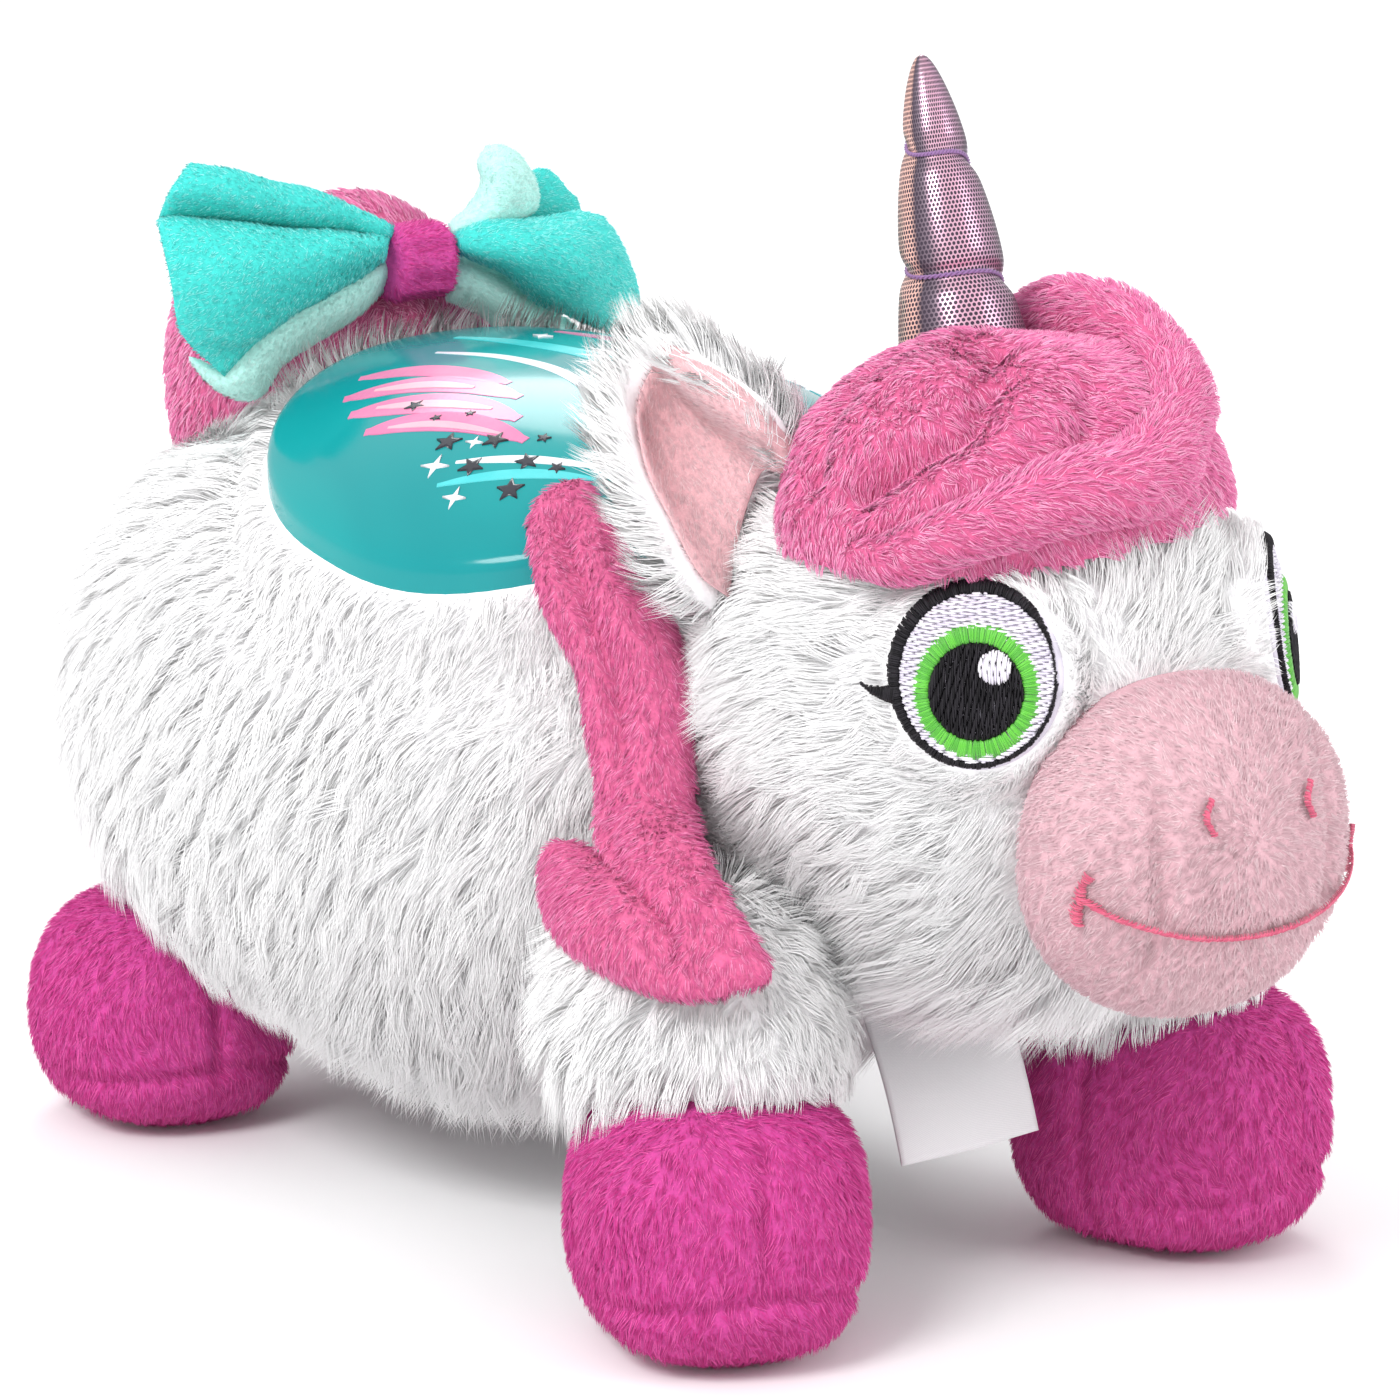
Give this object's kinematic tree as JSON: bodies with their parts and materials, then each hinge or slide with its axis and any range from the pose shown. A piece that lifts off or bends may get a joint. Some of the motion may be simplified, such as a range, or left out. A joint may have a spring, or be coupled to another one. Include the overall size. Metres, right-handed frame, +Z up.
{
  "type": "plush unicorn",
  "caption": "Stuffed unicorn night light: furry padded body on hoof feet, foil horn, bow on the tail, printed window in the back, battery pocket in the belly.",
  "frame": {"origin": "middle of the bottom of the toy's bounding box, on the surface that its hooves stand on", "axes": "+X from the rump to the muzzle, +Y to the unicorn's left, +Z up"},
  "size_m": [0.353, 0.18, 0.2443],
  "materials": {
    "white_pile": "long white faux-fur pile on a knitted backing",
    "pink_pile": "short hot-pink minky pile, brushed in one direction",
    "magenta_pile": "short magenta minky pile",
    "muzzle_pile": "pale pink short minky pile",
    "ear_lining": "pale pink short plush lining",
    "bow_pile": "turquoise short minky pile",
    "horn_foil": "dotted metallic foil printed on knit cloth",
    "filling": "polyester fibre filling",
    "horn_thread": "lilac winding thread",
    "mouth_thread": "pink satin-stitch embroidery",
    "black_thread": "black satin-stitch embroidery",
    "white_thread": "pale lavender-white fill-stitch embroidery",
    "green_thread": "green radial satin-stitch embroidery",
    "window_film": "printed glossy film on a moulded window",
    "white_plastic": "moulded ABS",
    "board": "green circuit board",
    "red_lamp": "red light-emitting diode",
    "green_lamp": "green light-emitting diode",
    "blue_lamp": "blue light-emitting diode",
    "cell": "plain printed sleeve of a dry cell",
    "steel": "plated screw",
    "label": "plain white woven label cloth"
  },
  "bodies": {
    "torso": {"body_cover": "white_pile", "front_right_sleeve": "white_pile", "front_left_sleeve": "white_pile", "right_mane_lock": "pink_pile", "left_mane_lock": "pink_pile", "front_right_hoof_cover": "magenta_pile", "front_right_hoof_sole": "magenta_pile", "front_left_hoof_cover": "magenta_pile", "front_left_hoof_sole": "magenta_pile", "rear_right_hoof_cover": "magenta_pile", "rear_right_hoof_sole": "magenta_pile", "rear_left_hoof_cover": "magenta_pile", "rear_left_hoof_sole": "magenta_pile", "body_filling": "filling", "front_right_leg_filling": "filling", "front_left_leg_filling": "filling", "rear_right_leg_filling": "filling", "rear_left_leg_filling": "filling", "dome_window": "window_film", "light_base": "white_plastic", "battery_box": "white_plastic", "circuit_board": "board", "red_lamp": "red_lamp", "green_lamp": "green_lamp", "blue_lamp": "blue_lamp", "first_battery": "cell", "second_battery": "cell", "third_battery": "cell"},
    "head": {"head_cover": "white_pile", "head_filling": "filling", "muzzle_cover": "muzzle_pile", "smile_stitching": "mouth_thread", "right_nostril_stitch": "mouth_thread", "left_nostril_stitch": "mouth_thread", "right_eye_outline": "black_thread", "right_eye_white": "white_thread", "right_eye_iris": "green_thread", "right_eye_pupil": "black_thread", "left_eye_outline": "black_thread", "left_eye_white": "white_thread", "left_eye_iris": "green_thread", "left_eye_pupil": "black_thread", "forelock_cap": "pink_pile", "forelock_roll": "pink_pile"},
    "right_ear": {"right_ear_back": "white_pile", "right_ear_lining": "ear_lining"},
    "left_ear": {"left_ear_back": "white_pile", "left_ear_lining": "ear_lining"},
    "horn": {"horn_cover": "horn_foil", "horn_filling": "filling", "horn_thread": "horn_thread"},
    "tail": {"tail": "pink_pile", "bow_knot": "magenta_pile", "right_bow_wing": "bow_pile", "left_bow_wing": "bow_pile"},
    "button": {"light_button": "white_plastic"},
    "door": {"battery_door": "white_plastic", "door_screw": "steel"},
    "flap": {"belly_flap": "white_pile"},
    "label": {"sewn_in_label": "label"}
  },
  "joints": [
    {"name": "head_nod", "type": "hinge", "parent": "torso", "child": "head", "pos_m": [0.099, 0, 0.125], "axis": [0, 1, 0], "range_deg": [-7, 7]},
    {"name": "right_ear_flex", "type": "hinge", "parent": "head", "child": "right_ear", "pos_m": [0.08, -0.045, 0.164], "axis": [1, 0, 0], "range_deg": [-12, 12]},
    {"name": "left_ear_flex", "type": "hinge", "parent": "head", "child": "left_ear", "pos_m": [0.08, 0.045, 0.164], "axis": [1, 0, 0], "range_deg": [-12, 12]},
    {"name": "horn_flex", "type": "hinge", "parent": "head", "child": "horn", "pos_m": [0.089, 0, 0.189], "axis": [0, 1, 0], "range_deg": [-8, 8]},
    {"name": "tail_flex", "type": "hinge", "parent": "torso", "child": "tail", "pos_m": [-0.126, 0, 0.15], "axis": [0, 1, 0], "range_deg": [-10, 10]},
    {"name": "button_press", "type": "slide", "parent": "torso", "child": "button", "axis": [-0.4695, 0, -0.8829], "range_m": [0, 0.0015], "stiffness_N_per_m": 800, "springref_m": -0.0005},
    {"name": "battery_door_lift", "type": "slide", "parent": "torso", "child": "door", "axis": [0, 0, -1], "range_m": [0, 0.025]},
    {"name": "belly_flap_open", "type": "hinge", "parent": "torso", "child": "flap", "pos_m": [-0.06, 0, 0.014], "axis": [0, 1, 0], "range_deg": [0, 60]},
    {"name": "label_flex", "type": "hinge", "parent": "torso", "child": "label", "pos_m": [0.076, 0.002, 0.06], "axis": [0, 1, 0], "range_deg": [-15, 15]}
  ]
}
